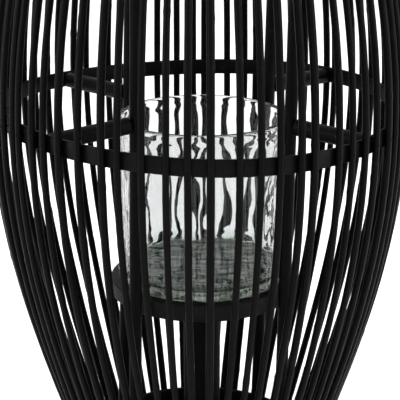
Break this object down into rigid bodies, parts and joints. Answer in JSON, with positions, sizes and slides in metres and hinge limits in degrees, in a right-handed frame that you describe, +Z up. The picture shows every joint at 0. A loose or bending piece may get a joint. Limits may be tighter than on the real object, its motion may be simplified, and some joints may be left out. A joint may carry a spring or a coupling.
{
  "type": "candle lantern",
  "caption": "Barrel-shaped cage of bowed black cane sticks round a wooden tray and stem, with a clear rippled glass candle cylinder and a folding carrying bail.",
  "frame": {"origin": "centre of the base board's underside, on the surface the lantern stands on", "axes": "+Z up along the cage's axis; the front faces -Y and +X is to its right"},
  "size_m": [0.3015, 0.3013, 0.604],
  "materials": {
    "cane_sticks": "black stained cane, satin lacquer",
    "frame_rods": "black painted wood rod, satin",
    "bail_cane": "black stained bent cane, satin lacquer",
    "bail_bead_wood": "black painted turned bead, satin",
    "hoop_strip": "black stained bent strip, satin",
    "plywood_board": "black painted plywood, satin",
    "stem_wood": "black painted turned wood, matt",
    "nails": "small painted nails and brads",
    "fixings": "dull zinc-plated screws and pins",
    "candle_glass": "clear pressed glass, rippled, faintly green in its thick base"
  },
  "bodies": {
    "lantern": {"bail_beads": "bail_bead_wood", "bail_pins": "fixings", "base_brads": "nails", "base_disc": "plywood_board", "base_hoop": "hoop_strip", "mid_brads": "nails", "mid_hoop": "hoop_strip", "post_back_left": "frame_rods", "post_back_right": "frame_rods", "post_front_left": "frame_rods", "post_front_right": "frame_rods", "post_nails": "nails", "spoke_back_left": "frame_rods", "spoke_back_right": "frame_rods", "spoke_front_left": "frame_rods", "spoke_front_right": "frame_rods", "spoke_nails": "nails", "stem_screws": "fixings", "stick_pair_01": "cane_sticks", "stick_pair_02": "cane_sticks", "stick_pair_03": "cane_sticks", "stick_pair_04": "cane_sticks", "stick_pair_05": "cane_sticks", "stick_pair_06": "cane_sticks", "stick_pair_07": "cane_sticks", "stick_pair_08": "cane_sticks", "stick_pair_09": "cane_sticks", "stick_pair_10": "cane_sticks", "stick_pair_11": "cane_sticks", "stick_pair_12": "cane_sticks", "stick_pair_13": "cane_sticks", "stick_pair_14": "cane_sticks", "stick_pair_15": "cane_sticks", "stick_pair_16": "cane_sticks", "stick_pair_17": "cane_sticks", "stick_pair_18": "cane_sticks", "stick_pair_19": "cane_sticks", "stick_pair_20": "cane_sticks", "stick_pair_21": "cane_sticks", "stick_pair_22": "cane_sticks", "stick_pair_23": "cane_sticks", "stick_pair_24": "cane_sticks", "stick_pair_25": "cane_sticks", "stick_pair_26": "cane_sticks", "stick_pair_27": "cane_sticks", "stick_pair_28": "cane_sticks", "stick_pair_29": "cane_sticks", "stick_pair_30": "cane_sticks", "stick_pair_31": "cane_sticks", "stick_pair_32": "cane_sticks", "top_brads": "nails", "top_hoop": "hoop_strip", "tray_disc": "plywood_board", "tray_stem": "stem_wood"},
    "glass": {"glass_cylinder": "candle_glass"},
    "bail": {"bail_handle": "bail_cane"}
  },
  "joints": [
    {"name": "glass_lift", "type": "slide", "parent": "lantern", "child": "glass", "axis": [0, 0, 1], "range_m": [0, 0.413]},
    {"name": "bail_swing", "type": "hinge", "parent": "lantern", "child": "bail", "pos_m": [0, 0, 0.546], "axis": [1, 0, 0], "range_deg": [0, 122]}
  ]
}
